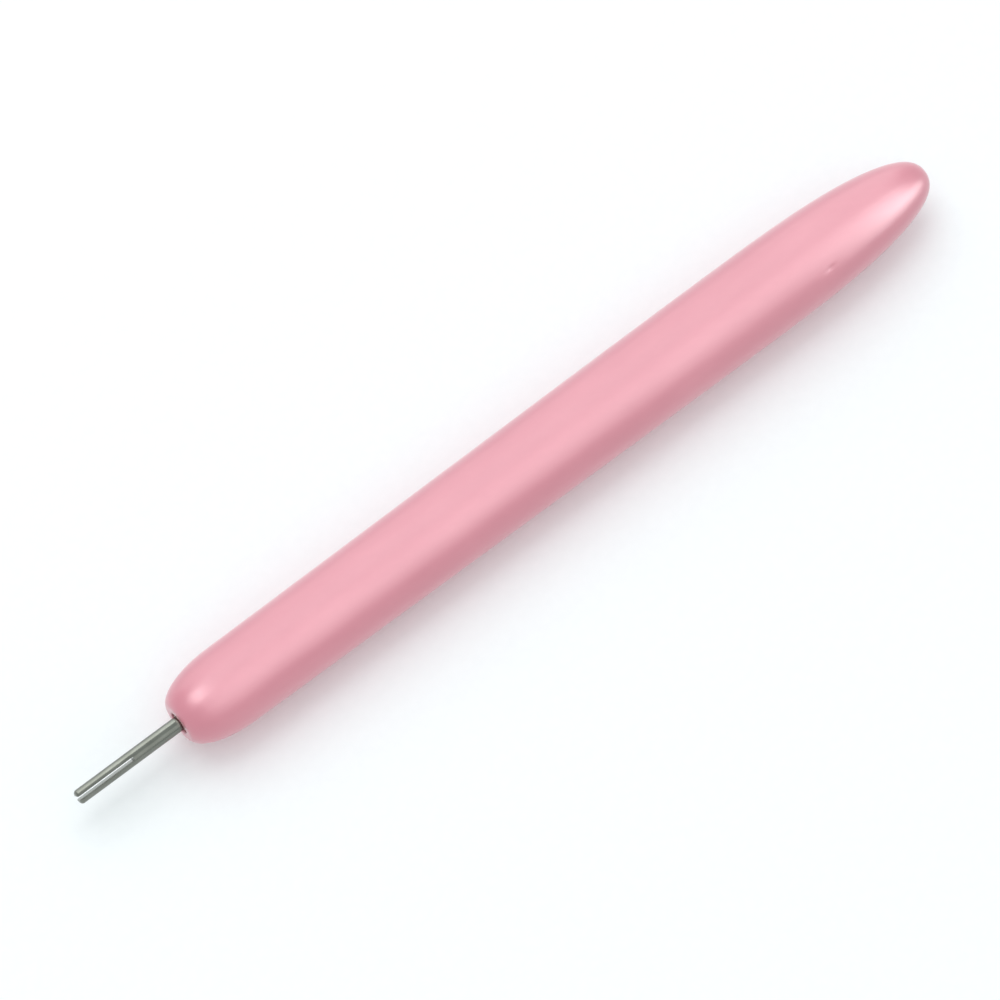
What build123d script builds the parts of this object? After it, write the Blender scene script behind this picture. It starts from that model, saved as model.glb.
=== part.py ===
from build123d import *
import math
import os

# Slotted quilling tool: a steel pin with a split end, glued into a turned wooden handle.
# The handle wears a coat of enamel. Sizes are in millimetres.
# The tool lies on its side along X, its pin towards -X, on the plane Z = 0.
# The origin is on that plane, under the middle of the tool's length.

# Handle, as finished
handle_length = 91.5
handle_diameter = 9.0
thickest_from_nose = 69.0
crown_length = 20.0
nose_diameter = 8.28
nose_length = 6.3
nose_rim_width = 0.6
enamel_thickness = 0.2

# Pin, and the slot that holds the end of a paper strip
pin_diameter = 1.5
pin_reach = 12.0
pin_grip = 18.0
pin_tip_radius = 0.35
pin_foot_chamfer = 0.2
slot_width = 0.35
slot_length = 6.5
slot_lead_in = 0.08
slot_roll = 28.0

# Glue grooves round the buried part of the pin
groove_count = 3
groove_width = 1.0
groove_depth = 0.2
groove_start = 0.1

# Bore in the handle, the recess round its mouth and the glue in both
glue_gap = 0.2
bore_foot_gap = 0.5
drill_point_angle = 118.0
recess_step = 0.2
recess_depth = 0.45
recess_lip_radius = 0.15
bead_drop = 0.05
bead_sag = 0.17

# Cutting tools run past the faces that they cut by this much
overrun = 1.0

# The blunt outline of the handle's tail, as shares of its length and the powers of its curve
tail_length_shares = (0.00, 0.28, 0.50, 0.68, 0.82, 0.92, 0.98, 1.00)
tail_length_power = 2.77
tail_radius_power = 2.52

# Worked out from the sizes above, along the tool from the pin's tip at zero
nose_x = pin_reach
shoulder_x = nose_x + nose_length
widest_x = nose_x + thickest_from_nose
crown_x = widest_x - crown_length
tail_x = nose_x + handle_length
pin_foot_x = nose_x + pin_grip
bore_foot_x = pin_foot_x + bore_foot_gap
handle_radius = handle_diameter / 2
pin_radius = pin_diameter / 2
bore_radius = pin_radius + glue_gap
recess_radius = bore_radius + recess_step
drill_point_length = bore_radius / math.tan(math.radians(drill_point_angle / 2))
bore_end_x = bore_foot_x + drill_point_length


def rod(radius, start, end):
    """A round rod along the tool's axis."""
    plane = Plane(origin=(start, 0, 0), x_dir=(0, 1, 0), z_dir=(1, 0, 0))
    return plane * Cylinder(radius, end - start, align=(Align.CENTER, Align.CENTER, Align.MIN))


def turned_form(inset):
    """The handle's solid of revolution, without recess or bore, drawn in by inset all over.

    It tapers straight from the crown to the shoulder, and the crown's arc levels off at the widest place.
    """
    start = nose_x + inset
    face = recess_radius + nose_rim_width
    shoulder = nose_diameter / 2 - inset
    widest = handle_radius - inset
    end = tail_x - inset
    slope = (widest - shoulder) / (widest_x - shoulder_x - crown_length / 2)
    crown = widest - slope * crown_length / 2
    tail_points = []
    for share in tail_length_shares:
        drop = (1 - share**tail_length_power) ** (1 / tail_radius_power)
        tail_points.append((widest_x + share * (end - widest_x), drop * widest))
    outline = [
        Line((start, 0), (start, face)),
        EllipticalCenterArc((shoulder_x, face), shoulder_x - start, shoulder - face, 90, arc_size=90),
        Line((shoulder_x, shoulder), (crown_x, crown)),
        TangentArc((widest_x, widest), (crown_x, crown), tangent=(-1, 0)),
        Spline(tail_points, tangents=[(1, 0), (0, -1)], tangent_scalars=(1, 1)),
        Line((end, 0), (start, 0)),
    ]
    return revolve(Face(Wire(outline)), Axis.X)


def recess_form(inset):
    """The shallow round recess in the nose face, made larger by inset all round."""
    return rod(recess_radius + inset, nose_x - overrun, nose_x + recess_depth + inset)


def bore_form():
    """The blind hole that takes the pin, with the cone that a drill leaves at its foot."""
    hole = rod(bore_radius, nose_x - overrun, bore_foot_x)
    plane = Plane(origin=(bore_foot_x, 0, 0), x_dir=(0, 1, 0), z_dir=(1, 0, 0))
    point = Cone(bore_radius, 0, drill_point_length, align=(Align.CENTER, Align.CENTER, Align.MIN))
    return hole + plane * point


def make_core():
    """The turned wooden body of the handle."""
    return turned_form(enamel_thickness) - recess_form(enamel_thickness) - bore_form()


def make_enamel():
    """The coat of enamel that wraps the whole handle, its nose and the recess."""
    outside = turned_form(0) - recess_form(0)
    nose_edges = outside.edges().filter_by(GeomType.CIRCLE).group_by(Axis.X)[0]
    outside = fillet(nose_edges.sort_by(SortBy.RADIUS)[0], recess_lip_radius)
    inside = turned_form(enamel_thickness) - recess_form(enamel_thickness)
    return outside - inside - bore_form()


def slot_form():
    """The slot: parallel walls through the pin, with a small lead-in at its tip."""
    half = slot_width / 2
    mouth = half + slot_lead_in
    corners = [
        (-overrun, mouth + overrun),
        (0, mouth),
        (slot_lead_in, half),
        (slot_length, half),
        (slot_length, -half),
        (slot_lead_in, -half),
        (0, -mouth),
        (-overrun, -mouth - overrun),
    ]
    plan = make_face(Polyline(corners, close=True))
    return extrude(plan, pin_radius + overrun, both=True)


def groove_forms():
    """The rings cut round the buried part of the pin, where the glue grips it."""
    rings = []
    for index in range(groove_count):
        start = nose_x + groove_start + index * (pin_grip - groove_start) / groove_count
        ring = rod(pin_radius + overrun, start, start + groove_width)
        hub = rod(pin_radius - groove_depth, start - overrun, start + groove_width + overrun)
        rings.append(ring - hub)
    return rings


def make_pin():
    """The steel pin: two prongs with a rounded tip, a plain shank and a grooved foot."""
    pin = rod(pin_radius, 0, pin_foot_x)
    pin = fillet(pin.edges().filter_by(GeomType.CIRCLE).sort_by(Axis.X)[0], pin_tip_radius)
    pin = chamfer(pin.edges().filter_by(GeomType.CIRCLE).sort_by(Axis.X)[-1], pin_foot_chamfer)
    for ring in groove_forms():
        pin = pin - ring
    return Rot(X=slot_roll) * (pin - slot_form())


def make_adhesive(pin):
    """The glue that fills the bore round the pin, with the hollow bead that it leaves in the recess."""
    floor = nose_x + recess_depth
    top = (nose_x + bead_drop, pin_radius)
    hollow = (nose_x + bead_drop + bead_sag, pin_radius + glue_gap)
    edge = (nose_x + bead_drop + bead_sag, recess_radius)
    outline = [
        Line((top[0], 0), top),
        Bezier(top, hollow, edge),
        Line(edge, (floor, recess_radius)),
        Line((floor, recess_radius), (floor, 0)),
        Line((floor, 0), (top[0], 0)),
    ]
    bead = revolve(Face(Wire(outline)), Axis.X)
    filling = bore_form() & rod(bore_radius + overrun, floor, bore_end_x + overrun)
    return bead + filling - pin


def main():
    os.makedirs("parts", exist_ok=True)
    pin = make_pin()
    nodes = {
        "handle_core": make_core(),
        "handle_enamel": make_enamel(),
        "slotted_pin": pin,
        "pin_adhesive": make_adhesive(pin),
    }
    place = Pos(-tail_x / 2, 0, handle_radius)
    for name, shape in nodes.items():
        export_step(place * shape, f"parts/{name}.step")


main()
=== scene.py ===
import math

import bmesh
import bpy
from mathutils import Matrix, Vector, noise


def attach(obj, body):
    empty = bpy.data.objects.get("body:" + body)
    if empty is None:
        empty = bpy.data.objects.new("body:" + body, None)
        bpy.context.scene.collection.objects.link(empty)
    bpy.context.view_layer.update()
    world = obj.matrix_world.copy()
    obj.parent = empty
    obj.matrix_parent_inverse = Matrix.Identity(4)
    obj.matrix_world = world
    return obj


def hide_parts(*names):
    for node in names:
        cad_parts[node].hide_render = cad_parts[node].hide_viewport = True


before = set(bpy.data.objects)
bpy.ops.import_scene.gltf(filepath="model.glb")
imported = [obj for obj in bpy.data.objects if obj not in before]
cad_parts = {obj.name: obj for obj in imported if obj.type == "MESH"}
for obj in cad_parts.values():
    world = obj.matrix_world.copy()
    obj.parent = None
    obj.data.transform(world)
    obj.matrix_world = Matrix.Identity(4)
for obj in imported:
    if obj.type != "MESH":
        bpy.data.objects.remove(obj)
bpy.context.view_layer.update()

MM = 0.001
TIP_X = -51.75              # the pin's tip, where lengths along the tool start
AXIS_Z = 4.5                # the tool's axis above the surface that it lies on

# Handle, in millimetres from the pin's tip and from the axis
NOSE_X = 12.0
SHOULDER_X = 18.3
WIDEST_X = 81.0
CROWN_LENGTH = 20.0
TAIL_X = 103.5
SHOULDER_R = 4.14
WIDEST_R = 4.5
COAT = 0.2
RIM = 0.6
TAIL_LENGTH_POWER = 2.77
TAIL_RADIUS_POWER = 2.52
BORE_R = 0.95
RECESS_R = 1.15
RECESS_DEPTH = 0.45
LIP_R = 0.15
COAT_SIDES = 210
LIP_STEPS = 8
NOSE_STEPS = 26
BARREL_STEPS = 60
TAIL_STEPS = 120
TAIL_SPACING_POWER = 0.9    # sets the tail's rings closer together towards its tip
RECESS_BEVEL = 0.02
NICK_X = 89.0
NICK_LEAN = 46.0
NICK_DEPTH = 0.07
NICK_HALF_WIDTH = 0.20
NICK_HALF_LENGTH = 0.48
NICK_SLANT = math.radians(12.0)

# Waves of the dipped coat: depth in millimetres, and how fast they change along and round the tool
WAVE_DEPTH = 0.020
LONG_WAVE = 0.018
LONG_WAVE_ALONG = 0.045
LONG_WAVE_ROUND = 0.16
LONG_WAVE_SHIFT = 7.0
SHORT_WAVE = 0.007
SHORT_WAVE_ALONG = 0.21
SHORT_WAVE_ROUND = 0.30
SHORT_WAVE_SHIFT = 40.0
EVEN_UNDER_R = 2.0          # the coat is even within this radius, and its waves grow to their full depth
EASE_WIDTH = 1.2            # over this width beyond it

# Pin
PIN_R = 0.75
PIN_FOOT_X = 30.0
PIN_CHAMFER = 0.2
TIP_ROUND = 0.35
SLOT_HALF = 0.175
SLOT_FOOT_X = 6.5
SLOT_LEAD = 0.08
SLOT_ROLL = 28.0
EDGE_ROUND = 0.03
TIP_EDGE_ROUND = 0.012
FOOT_EDGE_ROUND = 0.004
# Points round one prong: across its flat, round each edge, and round its back
FLAT_POINTS = 7
EDGE_POINTS = 3
ARC_POINTS = 23
# Rings along the pin: at its rounded tip, along the prongs, just before the slot's foot, and on the shank
TIP_STATIONS = [0.0, 0.01, 0.03, 0.055, 0.08, 0.11, 0.15, 0.20, 0.27, 0.35]
PRONG_STATIONS = 14
LAST_STATION_GAP = 0.12
FOOT_STATION_GAP = 0.06
SHANK_STATIONS = 6
SHANK_STEP = 0.8
SIDE_STEPS = 6              # steps that close the slot's foot on each side
GROOVES = [12.1, 18.0667, 24.0333]
GROOVE_WIDTH = 1.0
GROOVE_DEPTH = 0.2
HAIR = 0.001                # keeps the rings of a groove's wall apart, and settles close comparisons

# Glue
BEAD_DROP = 0.05
BEAD_SAG = 0.17
BORE_FOOT_X = 30.5
DRILL_HALF_ANGLE = 59.0
DRILL_POINT = BORE_R / math.tan(math.radians(DRILL_HALF_ANGLE))
GLUE_GAP = 0.2
GLUE_SIDES = 72
BEAD_STEPS = 10
BEAD_MARGIN = 0.02
BEAD_TURN = 0.8
BEAD_LOPSIDED = 0.02
BEAD_UNEVEN = 0.012


def place(x, y, z):
    """A point along and around the tool's axis, in millimetres, as a point of the frame in metres."""
    return Vector(((x + TIP_X) * MM, y * MM, (z + AXIS_Z) * MM))


def finish_mesh(name, bm, sharp=35.0):
    """Makes the smooth-shaded piece. Edges that turn by more than sharp, in degrees, stay sharp."""
    bmesh.ops.recalc_face_normals(bm, faces=bm.faces[:])
    mesh = bpy.data.meshes.new(name)
    bm.to_mesh(mesh)
    bm.free()
    mesh.shade_smooth()
    mesh.set_sharp_from_angle(angle=math.radians(sharp))
    piece = bpy.data.objects.new(name, mesh)
    bpy.context.scene.collection.objects.link(piece)
    return piece


def lathe(bm, profile, sides, closed, shift):
    """Turns a profile of (x, r) points round the axis. shift moves a point in or out along its radius."""
    rings = []
    for x, r in profile:
        if r < 1e-9:
            rings.append([bm.verts.new(place(x, 0, 0))])
            continue
        ring = []
        for k in range(sides):
            a = math.tau * k / sides
            radius = r + shift(x, r, a)
            ring.append(bm.verts.new(place(x, radius * math.cos(a), radius * math.sin(a))))
        rings.append(ring)
    pairs = list(zip(rings, rings[1:]))
    if closed:
        pairs.append((rings[-1], rings[0]))
    for low, high in pairs:
        if len(low) + len(high) > 2:
            bridge(bm, low, high)


def bridge(bm, low, high):
    """Faces between two rings, either of which may be one point on the axis."""
    n = max(len(low), len(high))
    for k in range(n):
        j = (k + 1) % n
        if len(low) == 1:
            bm.faces.new((low[0], high[k], high[j]))
        elif len(high) == 1:
            bm.faces.new((low[k], low[j], high[0]))
        else:
            bm.faces.new((low[k], low[j], high[j], high[k]))


def barrel_radius(x, widest, shoulder):
    """The barrel from the shoulder to the widest place: a straight taper, then an arc that levels off."""
    slope = (widest - shoulder) / (WIDEST_X - SHOULDER_X - CROWN_LENGTH / 2)
    back = WIDEST_X - x
    if back >= CROWN_LENGTH:
        return shoulder + slope * (x - SHOULDER_X)
    drop = slope * CROWN_LENGTH / 2
    bow = (CROWN_LENGTH ** 2 + drop ** 2) / (2 * drop)
    return widest - (bow - math.sqrt(bow * bow - back * back))


def turned_profile(inset):
    """The handle's outline from its nose face to the point of its tail, drawn in by inset."""
    face_r = RECESS_R + RIM
    start = NOSE_X + inset
    shoulder = SHOULDER_R - inset
    widest = WIDEST_R - inset
    end = TAIL_X - inset
    points = []
    for k in range(NOSE_STEPS + 1):
        a = 0.5 * math.pi * k / NOSE_STEPS
        points.append((SHOULDER_X - (SHOULDER_X - start) * math.cos(a),
                       face_r + (shoulder - face_r) * math.sin(a)))
    for k in range(1, BARREL_STEPS + 1):
        x = SHOULDER_X + (WIDEST_X - SHOULDER_X) * k / BARREL_STEPS
        points.append((x, barrel_radius(x, widest, shoulder)))
    for k in range(1, TAIL_STEPS + 1):
        share = math.sin(0.5 * math.pi * k / TAIL_STEPS) ** TAIL_SPACING_POWER
        if k == TAIL_STEPS:
            points.append((end, 0.0))
        else:
            drop = (1 - share ** TAIL_LENGTH_POWER) ** (1 / TAIL_RADIUS_POWER)
            points.append((WIDEST_X + share * (end - WIDEST_X), drop * widest))
    return points


def coat_profile():
    """The coat's closed outline: the recess, the nose, the barrel, the tail, and back along its inside."""
    outline = [(NOSE_X + RECESS_DEPTH, BORE_R), (NOSE_X + RECESS_DEPTH, RECESS_R - RECESS_BEVEL),
               (NOSE_X + RECESS_DEPTH - RECESS_BEVEL, RECESS_R)]
    lip = RECESS_R + LIP_R
    for k in range(LIP_STEPS + 1):
        a = 0.5 * math.pi * k / LIP_STEPS
        outline.append((NOSE_X + LIP_R - LIP_R * math.sin(a), lip - LIP_R * math.cos(a)))
    outline += turned_profile(0.0)
    inner = turned_profile(COAT)
    inner.reverse()
    outline += inner
    depth = NOSE_X + RECESS_DEPTH + COAT
    outline += [(NOSE_X + COAT, RECESS_R + COAT), (depth, RECESS_R + COAT), (depth, BORE_R)]
    return outline


def nick_depth(x, r, a):
    """How deep the shallow slanting nick near the tail is, at a place on the coat."""
    along = x - NICK_X
    across = r * (a - math.radians(90.0 + NICK_LEAN))
    down = along * math.sin(NICK_SLANT) + across * math.cos(NICK_SLANT)
    length = along * math.cos(NICK_SLANT) - across * math.sin(NICK_SLANT)
    return NICK_DEPTH * math.exp(-(down / NICK_HALF_WIDTH) ** 2 - (length / NICK_HALF_LENGTH) ** 2)


def ripple(x, r, a):
    """How far the dipped coat lies under its true outline: soft waves, and one nick."""
    if r < EVEN_UNDER_R:
        return 0.0
    y = math.cos(a) * WIDEST_R
    z = math.sin(a) * WIDEST_R
    long_wave = noise.noise(Vector((x * LONG_WAVE_ALONG, y * LONG_WAVE_ROUND,
                                    z * LONG_WAVE_ROUND + LONG_WAVE_SHIFT)))
    short_wave = noise.noise(Vector((x * SHORT_WAVE_ALONG + SHORT_WAVE_SHIFT, y * SHORT_WAVE_ROUND,
                                     z * SHORT_WAVE_ROUND)))
    depth = WAVE_DEPTH + LONG_WAVE * long_wave + SHORT_WAVE * short_wave
    ease = min(1.0, (r - EVEN_UNDER_R) / EASE_WIDTH)
    return -(max(depth, 0.0) + nick_depth(x, r, a)) * ease


def make_coat():
    bm = bmesh.new()
    lathe(bm, coat_profile(), COAT_SIDES, True, ripple)
    return finish_mesh("enamel_coat", bm)


def pin_radius(x):
    if x >= TIP_ROUND:
        return PIN_R
    back = TIP_ROUND - x
    return PIN_R - TIP_ROUND + math.sqrt(TIP_ROUND * TIP_ROUND - back * back)


def bend(start, corner, end):
    """The points between start and end of a curve that rounds off a corner."""
    points = []
    for k in range(1, EDGE_POINTS + 1):
        u = k / (EDGE_POINTS + 1)
        points.append(tuple((1 - u) ** 2 * p + 2 * u * (1 - u) * q + u * u * s
                            for p, q, s in zip(start, corner, end)))
    return points


def prong_section(x, rounding, side):
    """One prong's outline at a station, as (y, z) in the slot's own axes: the flat, a rounded edge,
    the round back and the other edge."""
    r = pin_radius(x)
    half = SLOT_HALF + max(0.0, SLOT_LEAD - x)
    corner_a = math.asin(half / r)
    corner_z = r * math.cos(corner_a)
    flat_end = corner_z - rounding
    turn = corner_a + rounding / r
    points = []
    for k in range(FLAT_POINTS):
        points.append((half, -flat_end + 2 * flat_end * k / (FLAT_POINTS - 1)))
    arc_start = (r * math.sin(turn), r * math.cos(turn))
    points += bend((half, flat_end), (half, corner_z), arc_start)
    for k in range(ARC_POINTS):
        a = turn + (math.pi - 2 * turn) * k / (ARC_POINTS - 1)
        points.append((r * math.sin(a), r * math.cos(a)))
    arc_end = (r * math.sin(turn), -r * math.cos(turn))
    points += bend(arc_end, (half, -corner_z), (half, -flat_end))
    return [(side * y, side * z) for y, z in points]


def roll(y, z):
    """Turns a point of the slot's own axes by the slot's roll."""
    a = math.radians(SLOT_ROLL)
    return y * math.cos(a) - z * math.sin(a), y * math.sin(a) + z * math.cos(a)


def ring_of(bm, x, section):
    return [bm.verts.new(place(x, *roll(y, z))) for y, z in section]


def buried_profile():
    """The outline of the pin inside the handle, which the glue follows: its grooves and chamfered foot."""
    profile = []
    for start in GROOVES:
        profile += [(start - HAIR, PIN_R), (start, PIN_R - GROOVE_DEPTH),
                    (start + GROOVE_WIDTH, PIN_R - GROOVE_DEPTH), (start + GROOVE_WIDTH + HAIR, PIN_R)]
    profile += [(PIN_FOOT_X - PIN_CHAMFER, PIN_R), (PIN_FOOT_X, PIN_R - PIN_CHAMFER)]
    return profile


def make_pin():
    bm = bmesh.new()
    stations = list(TIP_STATIONS)
    run = SLOT_FOOT_X - TIP_ROUND - LAST_STATION_GAP
    stations += [TIP_ROUND + run * k / PRONG_STATIONS for k in range(1, PRONG_STATIONS + 1)]
    stations += [SLOT_FOOT_X - FOOT_STATION_GAP, SLOT_FOOT_X]
    feet = []
    for side in (1, -1):
        rings = []
        for x in stations:
            rounding = EDGE_ROUND
            if x < SLOT_LEAD:
                rounding = TIP_EDGE_ROUND + (EDGE_ROUND - TIP_EDGE_ROUND) * x / SLOT_LEAD
            if x == SLOT_FOOT_X:
                rounding = FOOT_EDGE_ROUND
            rings.append(ring_of(bm, x, prong_section(x, rounding, side)))
        for low, high in zip(rings, rings[1:]):
            bridge(bm, low, high)
        bm.faces.new(rings[0])
        feet.append(rings[-1])
    arc_from = FLAT_POINTS + EDGE_POINTS
    arcs = [foot[arc_from:arc_from + ARC_POINTS] for foot in feet]
    centre = place(SLOT_FOOT_X, 0, 0)
    circle = []
    sides = []
    for here, there in ((0, 1), (1, 0)):
        circle += arcs[here]
        a = arcs[here][-1].co
        b = arcs[there][0].co
        between = []
        for k in range(1, SIDE_STEPS):
            point = (a - centre).lerp(b - centre, k / SIDE_STEPS)
            point = centre + point.normalized() * PIN_R * MM
            between.append(bm.verts.new(point))
        circle += between
        sides.append(between)
    # The foot of the slot: the part of the disc that neither prong covers
    floor_loop = []
    for here in (0, 1):
        foot = feet[here]
        inner = foot[arc_from + ARC_POINTS:] + foot[:arc_from]
        floor_loop.append([arcs[here][-1]] + inner + [arcs[here][0]])
    outline = floor_loop[0][::-1][:-1] + [floor_loop[0][0]] + sides[0]
    outline += floor_loop[1][::-1] + sides[1]
    bm.faces.new(outline)
    # The shank, its glue grooves and its chamfered foot
    profile = [(SLOT_FOOT_X + SHANK_STEP * k, PIN_R) for k in range(1, SHANK_STATIONS + 1)]
    profile += buried_profile()
    last = circle
    for x, r in profile:
        ring = []
        for v in circle:
            out = (v.co - centre).normalized()
            ring.append(bm.verts.new(place(x, 0, 0) + out * r * MM))
        bridge(bm, last, ring)
        last = ring
    bm.faces.new(last)
    return finish_mesh("steel_pin", bm, sharp=40.0)


def make_glue():
    bm = bmesh.new()
    top = NOSE_X + BEAD_DROP
    edge = top + BEAD_SAG
    profile = [(BORE_FOOT_X + DRILL_POINT, 0.0), (BORE_FOOT_X, BORE_R), (NOSE_X + RECESS_DEPTH, BORE_R),
               (NOSE_X + RECESS_DEPTH, RECESS_R)]
    for k in range(BEAD_STEPS + 1):
        u = k / BEAD_STEPS
        x = (1 - u) ** 2 * edge + 2 * u * (1 - u) * edge + u * u * top
        r = (1 - u) ** 2 * RECESS_R + 2 * u * (1 - u) * (PIN_R + GLUE_GAP) + u * u * PIN_R
        profile.append((x, r))
    profile += buried_profile()
    profile.append((PIN_FOOT_X, 0.0))

    def uneven(x, r, a):
        """The bead was wiped by hand, so its hollow is a little deeper on one side."""
        if PIN_R + BEAD_MARGIN < r < RECESS_R - BEAD_MARGIN and x < edge + HAIR:
            return BEAD_LOPSIDED * math.sin(a + BEAD_TURN) + BEAD_UNEVEN * math.sin(3 * a)
        return 0.0

    lathe(bm, profile, GLUE_SIDES, False, uneven)
    return finish_mesh("glue_bead", bm)


# Materials
NOISE_LOW = 0.3             # a noise mostly stays between these two
NOISE_HIGH = 0.7


def new_material(name):
    material = bpy.data.materials.new(name)
    material.use_nodes = True
    nodes = material.node_tree.nodes
    nodes.clear()
    output = nodes.new("ShaderNodeOutputMaterial")
    shader = nodes.new("ShaderNodeBsdfPrincipled")
    material.node_tree.links.new(shader.outputs["BSDF"], output.inputs["Surface"])
    return material, nodes, material.node_tree.links, shader


def stretched(nodes, links, scale):
    """Object coordinates, in metres, times a scale along each axis."""
    coords = nodes.new("ShaderNodeTexCoord")
    mapping = nodes.new("ShaderNodeMapping")
    mapping.inputs["Scale"].default_value = scale
    links.new(coords.outputs["Object"], mapping.inputs["Vector"])
    return mapping.outputs["Vector"]


def grain(nodes, links, scale, detail=3.0, rough=0.5, distortion=0.0):
    texture = nodes.new("ShaderNodeTexNoise")
    texture.inputs["Scale"].default_value = 1.0
    texture.inputs["Detail"].default_value = detail
    texture.inputs["Roughness"].default_value = rough
    texture.inputs["Distortion"].default_value = distortion
    links.new(stretched(nodes, links, scale), texture.inputs["Vector"])
    return texture.outputs["Fac"]


def spread(nodes, links, value, to_low, to_high):
    """Takes a noise's usual range to one from to_low to to_high."""
    remap = nodes.new("ShaderNodeMapRange")
    remap.inputs["From Min"].default_value = NOISE_LOW
    remap.inputs["From Max"].default_value = NOISE_HIGH
    remap.inputs["To Min"].default_value = to_low
    remap.inputs["To Max"].default_value = to_high
    links.new(value, remap.inputs["Value"])
    return remap.outputs["Result"]


def ramp(nodes, links, value, stops):
    node = nodes.new("ShaderNodeValToRGB")
    elements = node.color_ramp.elements
    while len(elements) < len(stops):
        elements.new(0.5)
    for element, (position, colour) in zip(elements, stops):
        element.position = position
        element.color = (*colour, 1.0)
    links.new(value, node.inputs["Fac"])
    return node.outputs["Color"]


def bumps(nodes, links, layers):
    """Stacks bump nodes: layers are (height value, distance in metres, strength)."""
    normal = None
    for height, distance, strength in layers:
        bump = nodes.new("ShaderNodeBump")
        bump.inputs["Distance"].default_value = distance
        bump.inputs["Strength"].default_value = strength
        links.new(height, bump.inputs["Height"])
        if normal:
            links.new(normal, bump.inputs["Normal"])
        normal = bump.outputs["Normal"]
    return normal


def enamel_material():
    material, nodes, links, shader = new_material("pink_enamel")
    cloud = grain(nodes, links, (90.0, 220.0, 220.0), detail=4.0, rough=0.55)
    colour = ramp(nodes, links, cloud, [(0.30, (0.650, 0.214, 0.270)), (0.52, (0.675, 0.228, 0.285)),
                                        (0.72, (0.700, 0.244, 0.301))])
    links.new(colour, shader.inputs["Base Color"])
    haze = grain(nodes, links, (260.0, 700.0, 700.0), detail=5.0, rough=0.6)
    links.new(spread(nodes, links, haze, 0.29, 0.38), shader.inputs["Roughness"])
    peel = grain(nodes, links, (1500.0, 1500.0, 1500.0), detail=2.0, rough=0.5)
    sag = grain(nodes, links, (150.0, 420.0, 420.0), detail=2.0, rough=0.4)
    normal = bumps(nodes, links, [(sag, 0.00006, 0.35), (peel, 0.00001, 0.30)])
    links.new(normal, shader.inputs["Normal"])
    shader.inputs["IOR"].default_value = 1.5
    shader.inputs["Specular IOR Level"].default_value = 0.2
    shader.inputs["Coat Weight"].default_value = 1.0
    shader.inputs["Coat Roughness"].default_value = 0.30
    shader.inputs["Coat IOR"].default_value = 1.6
    return material


def steel_material():
    material, nodes, links, shader = new_material("drawn_steel")
    lines = grain(nodes, links, (160.0, 9000.0, 9000.0), detail=4.0, rough=0.6)
    stain = grain(nodes, links, (500.0, 900.0, 900.0), detail=4.0, rough=0.6)
    colour = ramp(nodes, links, stain, [(0.30, (0.172, 0.177, 0.154)), (0.55, (0.206, 0.211, 0.186)),
                                        (0.75, (0.245, 0.249, 0.225))])
    links.new(colour, shader.inputs["Base Color"])
    links.new(spread(nodes, links, lines, 0.14, 0.26), shader.inputs["Roughness"])
    normal = bumps(nodes, links, [(lines, 0.000004, 0.35), (stain, 0.00001, 0.12)])
    links.new(normal, shader.inputs["Normal"])
    shader.inputs["Metallic"].default_value = 1.0
    return material


def glue_material():
    material, nodes, links, shader = new_material("glue_painted_shade")
    cloud = grain(nodes, links, (2500.0, 2500.0, 2500.0), detail=4.0, rough=0.6)
    # Painted shade: the glue is coloured dark red-brown so that it stands for the shade in the recess
    # round the pin's root, reddened by the pink enamel round it
    colour = ramp(nodes, links, cloud, [(0.30, (0.16, 0.062, 0.055)), (0.60, (0.25, 0.105, 0.090)),
                                        (0.80, (0.36, 0.17, 0.15))])
    links.new(colour, shader.inputs["Base Color"])
    links.new(spread(nodes, links, cloud, 0.18, 0.32), shader.inputs["Roughness"])
    links.new(bumps(nodes, links, [(cloud, 0.00002, 0.4)]), shader.inputs["Normal"])
    return material


def wood_material():
    material, nodes, links, shader = new_material("turned_beech")
    fibres = grain(nodes, links, (60.0, 2600.0, 2600.0), detail=5.0, rough=0.6)
    rings = grain(nodes, links, (25.0, 500.0, 240.0), detail=3.0, rough=0.5, distortion=0.6)
    base = ramp(nodes, links, rings, [(0.30, (0.42, 0.25, 0.13)), (0.55, (0.52, 0.33, 0.18)),
                                      (0.75, (0.60, 0.41, 0.24))])
    streaks = ramp(nodes, links, fibres, [(0.35, (0.62, 0.62, 0.62)), (0.60, (1.0, 1.0, 1.0))])
    mix = nodes.new("ShaderNodeMix")
    mix.data_type = "RGBA"
    mix.blend_type = "MULTIPLY"
    mix.inputs["Factor"].default_value = 0.6
    links.new(base, mix.inputs["A"])
    links.new(streaks, mix.inputs["B"])
    links.new(mix.outputs["Result"], shader.inputs["Base Color"])
    links.new(spread(nodes, links, fibres, 0.45, 0.62), shader.inputs["Roughness"])
    links.new(bumps(nodes, links, [(fibres, 0.00003, 0.4)]), shader.inputs["Normal"])
    return material


def wear(piece, material):
    piece.data.materials.clear()
    piece.data.materials.append(material)


# The tool
pieces = [
    (make_coat(), enamel_material(), "handle_enamel", "enamel"),
    (make_pin(), steel_material(), "slotted_pin", "steel"),
    (make_glue(), glue_material(), "pin_adhesive", "adhesive"),
]
for piece, material, node, slot in pieces:
    wear(piece, material)
    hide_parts(node)
    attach(piece, "root")
wood = wood_material()
for material_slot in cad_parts["handle_core"].material_slots:
    material_slot.material = wood


# The floor
FLOOR_LIFT = 0.02
FLOOR_HALF = 3.0
FLOOR_Z = -0.00002


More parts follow.
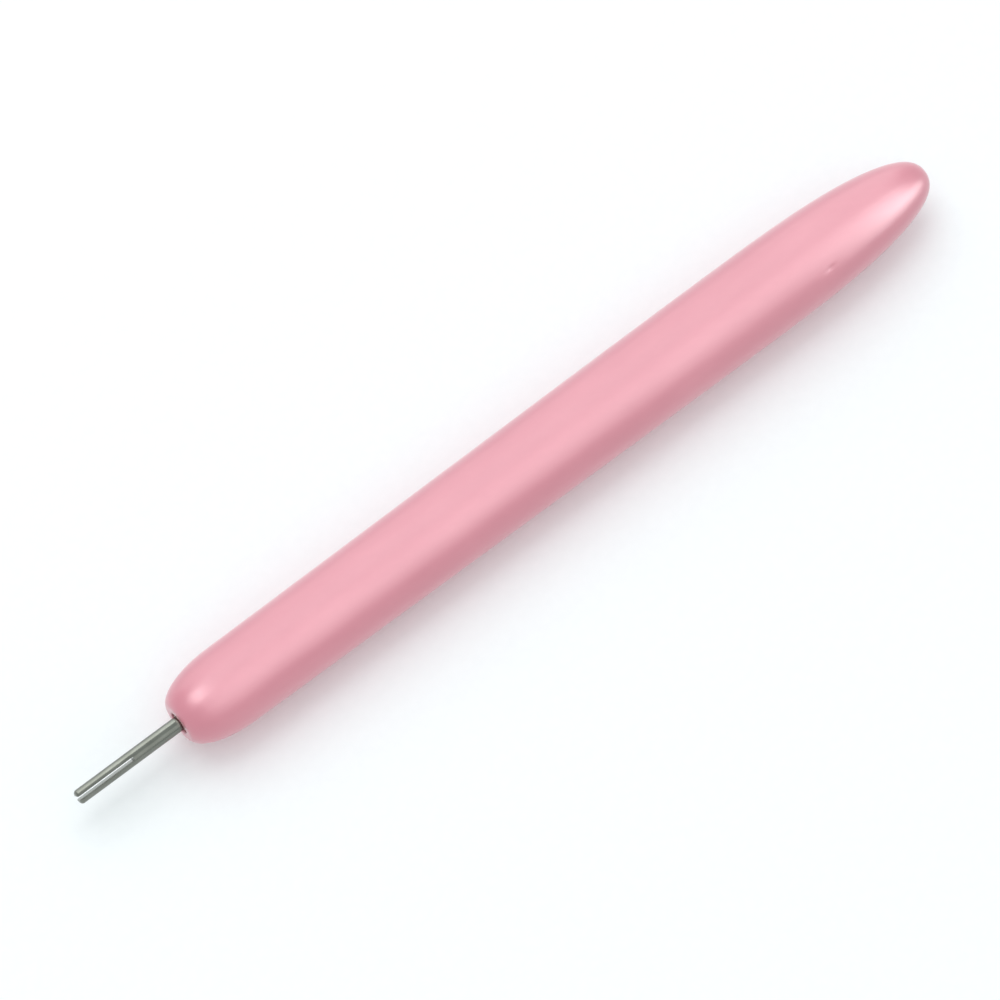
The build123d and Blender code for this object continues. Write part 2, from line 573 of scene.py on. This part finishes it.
def floor_material():
    material, nodes, links, shader = new_material("white_card")
    fleck = grain(nodes, links, (900.0, 900.0, 900.0), detail=3.0, rough=0.6)
    colour = ramp(nodes, links, fleck, [(0.35, (0.945, 0.945, 0.950)), (0.65, (0.958, 0.958, 0.962))])
    links.new(colour, shader.inputs["Base Color"])
    shader.inputs["Roughness"].default_value = 0.95
    shader.inputs["Specular IOR Level"].default_value = 0.0
    path = nodes.new("ShaderNodeLightPath")
    seen = nodes.new("ShaderNodeMath")
    seen.operation = "ADD"
    seen.use_clamp = True
    links.new(path.outputs["Is Camera Ray"], seen.inputs[0])
    links.new(path.outputs["Is Glossy Ray"], seen.inputs[1])
    lift = nodes.new("ShaderNodeMath")
    lift.operation = "MULTIPLY"
    lift.inputs[1].default_value = FLOOR_LIFT
    links.new(seen.outputs["Value"], lift.inputs[0])
    shader.inputs["Emission Color"].default_value = (0.97, 0.98, 1.0, 1.0)
    links.new(lift.outputs["Value"], shader.inputs["Emission Strength"])
    return material


floor_mesh = bpy.data.meshes.new("floor")
floor_mesh.from_pydata([(-FLOOR_HALF, -FLOOR_HALF, FLOOR_Z), (FLOOR_HALF, -FLOOR_HALF, FLOOR_Z),
                        (FLOOR_HALF, FLOOR_HALF, FLOOR_Z), (-FLOOR_HALF, FLOOR_HALF, FLOOR_Z)],
                       [], [(0, 1, 2, 3)])
floor = bpy.data.objects.new("floor", floor_mesh)
bpy.context.scene.collection.objects.link(floor)
floor.data.materials.append(floor_material())


# Light
def aimed(lean, along, distance):
    """Where a lamp stands, and how it turns, to face the tool from that side."""
    a = math.radians(lean)
    b = math.radians(along)
    out = Vector((math.sin(b), -math.sin(a) * math.cos(b), math.cos(a) * math.cos(b)))
    side = (Vector((1, 0, 0)) - out * out.x).normalized()
    turn = Matrix((side, out.cross(side), out)).transposed().to_4x4()
    return Matrix.Translation(out * distance) @ turn


def softbox(name, lean, along, distance, width, height, radiance, colour, gloss=True, only=None):
    """A soft lamp, which either shows in gloss alone or lights the surfaces alone.

    lean is its angle from straight up, towards -Y, in degrees, and along its tilt towards +X.
    width is along X, height across it, and radiance is how bright its face looks.
    only is the collection of pieces that it lights, where it leaves the others alone.
    """
    data = bpy.data.lights.new(name, "AREA")
    data.shape = "RECTANGLE"
    data.size = width
    data.size_y = height
    data.energy = radiance * math.pi * width * height
    data.color = colour
    lamp = bpy.data.objects.new(name, data)
    lamp.matrix_world = aimed(lean, along, distance)
    bpy.context.scene.collection.objects.link(lamp)
    lamp.visible_camera = False
    lamp.visible_glossy = gloss
    lamp.visible_diffuse = not gloss
    if only:
        lamp.light_linking.receiver_collection = only


def lit_alone(name, piece):
    """A collection of one piece, for lamps that light nothing else."""
    collection = bpy.data.collections.new(name)
    collection.objects.link(piece)
    return collection


SKY_COLOUR = (0.93, 0.995, 1.0)
TENT_COLOUR = (0.99, 1.0, 1.0)

# One big softbox behind and above: the lean and radiance of each strip
SOFTBOX = ((-55.0, 0.42), (-35.0, 1.29), (-15.0, 1.69))
for index, (lean, radiance) in enumerate(SOFTBOX):
    softbox(f"softbox_{index}", lean, along=5.0, distance=1.0, width=0.9, height=0.34, radiance=radiance,
            colour=SKY_COLOUR, gloss=False)

# The white tent round the set, as the gloss shows it. Its strips that lean past COAT_ALONE_PAST show on
# the coat alone, so that the pin keeps darker lines, and the pin has one weak lamp of its own.
TENT = ((-85.0, 1.1), (-65.0, 1.55), (-45.0, 1.9), (-25.0, 2.0), (-5.0, 1.95), (15.0, 2.45), (35.0, 2.35),
        (55.0, 1.4))
COAT_ALONE_PAST = -35.0
lit_coat = lit_alone("lit_coat", pieces[0][0])
lit_pin = lit_alone("lit_pin", pieces[1][0])
for index, (lean, radiance) in enumerate(TENT):
    softbox(f"tent_{index}", lean, along=13.0, distance=1.0, width=1.4, height=0.352, radiance=radiance,
            colour=TENT_COLOUR, only=lit_coat if lean > COAT_ALONE_PAST else None)
softbox("pin_lamp", 39.5, along=13.0, distance=1.0, width=1.4, height=0.8, radiance=0.42,
        colour=TENT_COLOUR, only=lit_pin)

# Brighter places in the tent, towards the tail's end and the nose's
TAIL_LAMPS = ((15.0, 2.4), (35.0, 3.6), (55.0, 4.4))
for index, (lean, radiance) in enumerate(TAIL_LAMPS):
    softbox(f"tail_lamp_{index}", lean, along=42.0, distance=1.02, width=0.4, height=0.35,
            radiance=radiance, colour=TENT_COLOUR)
softbox("end_lamp", 84.0, along=50.0, distance=1.0, width=0.8, height=0.7, radiance=5.0,
        colour=TENT_COLOUR)
softbox("nose_lamp", -17.0, along=-24.0, distance=0.95, width=0.27, height=0.6, radiance=6.0,
        colour=TENT_COLOUR, only=lit_coat)

WORLD_COLOUR = (0.925, 0.988, 1.0, 1.0)
WORLD_STRENGTH = 0.86
world = bpy.data.worlds.new("studio")
bpy.context.scene.world = world
world.use_nodes = True
background = world.node_tree.nodes["Background"]
background.inputs["Color"].default_value = WORLD_COLOUR
background.inputs["Strength"].default_value = WORLD_STRENGTH

# Camera. RIGHT and UP are the picture's own axes, and BACK points from the target to the camera.
AHEAD = math.radians(38.6)
BACK = Vector((-0.2337, -0.2928, 0.9272)).normalized()
RIGHT = Vector((math.cos(AHEAD), -math.sin(AHEAD), 0.0))
UP = BACK.cross(RIGHT).normalized()
TARGET = Vector((-0.306, 0.0, 4.5)) * MM
DISTANCE = 0.650
WIDE = 0.09549              # the width that the picture takes in at the target
SENSOR = 36.0
AIM_LEFT = 0.579            # how far the picture's middle is from the target, in millimetres
AIM_DOWN = 1.772
camera_data = bpy.data.cameras.new("camera")
camera_data.sensor_fit = "HORIZONTAL"
camera_data.sensor_width = SENSOR
camera_data.lens = SENSOR * DISTANCE / WIDE
camera_data.clip_start = 0.01
camera_data.clip_end = 20.0
camera = bpy.data.objects.new("camera", camera_data)
aim = TARGET - RIGHT * AIM_LEFT * MM - UP * AIM_DOWN * MM
camera.matrix_world = (Matrix.Translation(aim + BACK * DISTANCE)
                       @ Matrix((RIGHT, UP, BACK)).transposed().to_4x4())
bpy.context.scene.collection.objects.link(camera)
bpy.context.scene.camera = camera
bpy.context.scene.view_settings.view_transform = "Standard"

bpy.context.view_layer.update()
